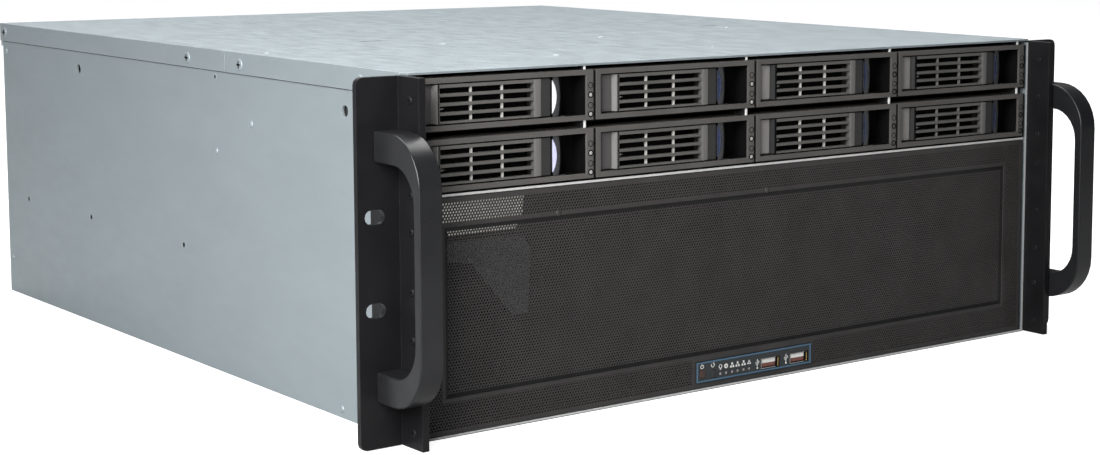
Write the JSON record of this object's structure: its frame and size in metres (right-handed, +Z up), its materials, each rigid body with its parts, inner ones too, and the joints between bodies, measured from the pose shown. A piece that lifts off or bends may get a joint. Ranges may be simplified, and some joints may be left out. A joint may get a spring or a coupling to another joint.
{
  "type": "rackmount storage enclosure",
  "caption": "Four-unit rack storage enclosure with hot-swap drive trays over a perforated front, bow handles, fans, power supply and a sliding lid.",
  "frame": {"origin": "middle of the footprint, on the surface that the enclosure's flat bottom rests on", "axes": "+Z up, +X to the right of someone facing the front, +Y from the front to the back"},
  "size_m": [0.4826, 0.559, 0.178],
  "materials": {
    "zinc_steel": "satin",
    "bare_steel": "semi-bright",
    "black_paint": "satin black",
    "tray_plastic": "fine matt",
    "latch_plastic": "glossy",
    "panel_plastic": "satin",
    "fan_plastic": "matt",
    "board": "solder-resist",
    "bright_metal": "bright plated"
  },
  "bodies": {
    "chassis": {"base_tray": "zinc_steel", "front_cover": "zinc_steel", "rear_panel": "zinc_steel", "slot_covers": "bare_steel", "ear_left": "black_paint", "ear_right": "black_paint", "handle_left": "black_paint", "handle_right": "black_paint", "drive_cage": "bare_steel", "backplane": "board", "front_grille": "black_paint", "control_panel": "panel_plastic", "usb_socket_left": "bright_metal", "usb_socket_right": "bright_metal", "fan_wall": "bare_steel", "mid_fan_left": "fan_plastic", "mid_fan_centre": "fan_plastic", "mid_fan_right": "fan_plastic", "rear_fan_left": "fan_plastic", "rear_fan_right": "fan_plastic", "psu_case": "zinc_steel", "psu_inlet": "panel_plastic", "mainboard": "board", "io_shield": "bare_steel"},
    "bay_1_tray": {"bay_1_tray": "tray_plastic"},
    "bay_1_lever": {"bay_1_lever": "tray_plastic"},
    "bay_1_latch": {"bay_1_latch": "latch_plastic"},
    "bay_2_tray": {"bay_2_tray": "tray_plastic"},
    "bay_2_lever": {"bay_2_lever": "tray_plastic"},
    "bay_2_latch": {"bay_2_latch": "latch_plastic"},
    "bay_3_tray": {"bay_3_tray": "tray_plastic"},
    "bay_3_lever": {"bay_3_lever": "tray_plastic"},
    "bay_3_latch": {"bay_3_latch": "latch_plastic"},
    "bay_4_tray": {"bay_4_tray": "tray_plastic"},
    "bay_4_lever": {"bay_4_lever": "tray_plastic"},
    "bay_4_latch": {"bay_4_latch": "latch_plastic"},
    "bay_5_tray": {"bay_5_tray": "tray_plastic"},
    "bay_5_lever": {"bay_5_lever": "tray_plastic"},
    "bay_5_latch": {"bay_5_latch": "latch_plastic"},
    "bay_6_tray": {"bay_6_tray": "tray_plastic"},
    "bay_6_lever": {"bay_6_lever": "tray_plastic"},
    "bay_6_latch": {"bay_6_latch": "latch_plastic"},
    "bay_7_tray": {"bay_7_tray": "tray_plastic"},
    "bay_7_lever": {"bay_7_lever": "tray_plastic"},
    "bay_7_latch": {"bay_7_latch": "latch_plastic"},
    "bay_8_tray": {"bay_8_tray": "tray_plastic"},
    "bay_8_lever": {"bay_8_lever": "tray_plastic"},
    "bay_8_latch": {"bay_8_latch": "latch_plastic"},
    "power_button": {"power_button": "panel_plastic"},
    "reset_button": {"reset_button": "panel_plastic"},
    "lid": {"rear_lid": "zinc_steel"},
    "thumbscrew_left": {"thumbscrew_left": "bright_metal"},
    "thumbscrew_right": {"thumbscrew_right": "bright_metal"},
    "mid_rotor_left": {"mid_rotor_left": "fan_plastic"},
    "mid_rotor_centre": {"mid_rotor_centre": "fan_plastic"},
    "mid_rotor_right": {"mid_rotor_right": "fan_plastic"},
    "rear_rotor_left": {"rear_rotor_left": "fan_plastic"},
    "rear_rotor_right": {"rear_rotor_right": "fan_plastic"},
    "psu_rotor": {"psu_rotor": "fan_plastic"},
    "psu_rocker": {"psu_rocker": "panel_plastic"}
  },
  "joints": [
    {"name": "bay_1_slide", "type": "slide", "parent": "chassis", "child": "bay_1_tray", "axis": [0, -1, 0], "range_m": [0, 0.15]},
    {"name": "bay_1_lever_swing", "type": "hinge", "parent": "bay_1_tray", "child": "bay_1_lever", "pos_m": [-0.2054, -0.23585, 0.1621], "axis": [0, 0, -1], "range_deg": [0, 60]},
    {"name": "bay_1_latch_press", "type": "slide", "parent": "bay_1_lever", "child": "bay_1_latch", "axis": [-1, 0, 0], "range_m": [0, 0.001], "stiffness_N_per_m": 500},
    {"name": "bay_2_slide", "type": "slide", "parent": "chassis", "child": "bay_2_tray", "axis": [0, -1, 0], "range_m": [0, 0.15]},
    {"name": "bay_2_lever_swing", "type": "hinge", "parent": "bay_2_tray", "child": "bay_2_lever", "pos_m": [-0.0992, -0.23585, 0.1621], "axis": [0, 0, -1], "range_deg": [0, 60]},
    {"name": "bay_2_latch_press", "type": "slide", "parent": "bay_2_lever", "child": "bay_2_latch", "axis": [-1, 0, 0], "range_m": [0, 0.001], "stiffness_N_per_m": 500},
    {"name": "bay_3_slide", "type": "slide", "parent": "chassis", "child": "bay_3_tray", "axis": [0, -1, 0], "range_m": [0, 0.15]},
    {"name": "bay_3_lever_swing", "type": "hinge", "parent": "bay_3_tray", "child": "bay_3_lever", "pos_m": [0.007, -0.23585, 0.1621], "axis": [0, 0, -1], "range_deg": [0, 60]},
    {"name": "bay_3_latch_press", "type": "slide", "parent": "bay_3_lever", "child": "bay_3_latch", "axis": [-1, 0, 0], "range_m": [0, 0.001], "stiffness_N_per_m": 500},
    {"name": "bay_4_slide", "type": "slide", "parent": "chassis", "child": "bay_4_tray", "axis": [0, -1, 0], "range_m": [0, 0.15]},
    {"name": "bay_4_lever_swing", "type": "hinge", "parent": "bay_4_tray", "child": "bay_4_lever", "pos_m": [0.1132, -0.23585, 0.1621], "axis": [0, 0, -1], "range_deg": [0, 60]},
    {"name": "bay_4_latch_press", "type": "slide", "parent": "bay_4_lever", "child": "bay_4_latch", "axis": [-1, 0, 0], "range_m": [0, 0.001], "stiffness_N_per_m": 500},
    {"name": "bay_5_slide", "type": "slide", "parent": "chassis", "child": "bay_5_tray", "axis": [0, -1, 0], "range_m": [0, 0.15]},
    {"name": "bay_5_lever_swing", "type": "hinge", "parent": "bay_5_tray", "child": "bay_5_lever", "pos_m": [-0.2054, -0.23585, 0.1327], "axis": [0, 0, -1], "range_deg": [0, 60]},
    {"name": "bay_5_latch_press", "type": "slide", "parent": "bay_5_lever", "child": "bay_5_latch", "axis": [-1, 0, 0], "range_m": [0, 0.001], "stiffness_N_per_m": 500},
    {"name": "bay_6_slide", "type": "slide", "parent": "chassis", "child": "bay_6_tray", "axis": [0, -1, 0], "range_m": [0, 0.15]},
    {"name": "bay_6_lever_swing", "type": "hinge", "parent": "bay_6_tray", "child": "bay_6_lever", "pos_m": [-0.0992, -0.23585, 0.1327], "axis": [0, 0, -1], "range_deg": [0, 60]},
    {"name": "bay_6_latch_press", "type": "slide", "parent": "bay_6_lever", "child": "bay_6_latch", "axis": [-1, 0, 0], "range_m": [0, 0.001], "stiffness_N_per_m": 500},
    {"name": "bay_7_slide", "type": "slide", "parent": "chassis", "child": "bay_7_tray", "axis": [0, -1, 0], "range_m": [0, 0.15]},
    {"name": "bay_7_lever_swing", "type": "hinge", "parent": "bay_7_tray", "child": "bay_7_lever", "pos_m": [0.007, -0.23585, 0.1327], "axis": [0, 0, -1], "range_deg": [0, 60]},
    {"name": "bay_7_latch_press", "type": "slide", "parent": "bay_7_lever", "child": "bay_7_latch", "axis": [-1, 0, 0], "range_m": [0, 0.001], "stiffness_N_per_m": 500},
    {"name": "bay_8_slide", "type": "slide", "parent": "chassis", "child": "bay_8_tray", "axis": [0, -1, 0], "range_m": [0, 0.15]},
    {"name": "bay_8_lever_swing", "type": "hinge", "parent": "bay_8_tray", "child": "bay_8_lever", "pos_m": [0.1132, -0.23585, 0.1327], "axis": [0, 0, -1], "range_deg": [0, 60]},
    {"name": "bay_8_latch_press", "type": "slide", "parent": "bay_8_lever", "child": "bay_8_latch", "axis": [-1, 0, 0], "range_m": [0, 0.001], "stiffness_N_per_m": 500},
    {"name": "power_press", "type": "slide", "parent": "chassis", "child": "power_button", "axis": [0, 1, 0], "range_m": [0, 0.0008], "stiffness_N_per_m": 600},
    {"name": "reset_press", "type": "slide", "parent": "chassis", "child": "reset_button", "axis": [0, 1, 0], "range_m": [0, 0.0008], "stiffness_N_per_m": 600},
    {"name": "lid_slide", "type": "slide", "parent": "chassis", "child": "lid", "axis": [0, 1, 0], "range_m": [0, 0.02]},
    {"name": "thumbscrew_left_turn", "type": "hinge", "parent": "lid", "child": "thumbscrew_left", "pos_m": [-0.15, 0.27195, 0.17], "axis": [0, -1, 0], "continuous": true},
    {"name": "thumbscrew_right_turn", "type": "hinge", "parent": "lid", "child": "thumbscrew_right", "pos_m": [0.15, 0.27195, 0.17], "axis": [0, -1, 0], "continuous": true},
    {"name": "mid_rotor_left_spin", "type": "hinge", "parent": "chassis", "child": "mid_rotor_left", "pos_m": [-0.13, -0.03055, 0.066], "axis": [0, 1, 0], "continuous": true},
    {"name": "mid_rotor_centre_spin", "type": "hinge", "parent": "chassis", "child": "mid_rotor_centre", "pos_m": [0, -0.03055, 0.066], "axis": [0, 1, 0], "continuous": true},
    {"name": "mid_rotor_right_spin", "type": "hinge", "parent": "chassis", "child": "mid_rotor_right", "pos_m": [0.13, -0.03055, 0.066], "axis": [0, 1, 0], "continuous": true},
    {"name": "rear_rotor_left_spin", "type": "hinge", "parent": "chassis", "child": "rear_rotor_left", "pos_m": [-0.014, 0.24565, 0.102], "axis": [0, 1, 0], "continuous": true},
    {"name": "rear_rotor_right_spin", "type": "hinge", "parent": "chassis", "child": "rear_rotor_right", "pos_m": [0.069, 0.24565, 0.102], "axis": [0, 1, 0], "continuous": true},
    {"name": "psu_rotor_spin", "type": "hinge", "parent": "chassis", "child": "psu_rotor", "pos_m": [0.163, 0.24295, 0.105], "axis": [0, 1, 0], "continuous": true},
    {"name": "psu_rocker_tilt", "type": "hinge", "parent": "chassis", "child": "psu_rocker", "pos_m": [0.184, 0.26595, 0.028], "axis": [-1, 0, 0], "range_deg": [0, 16]}
  ]
}
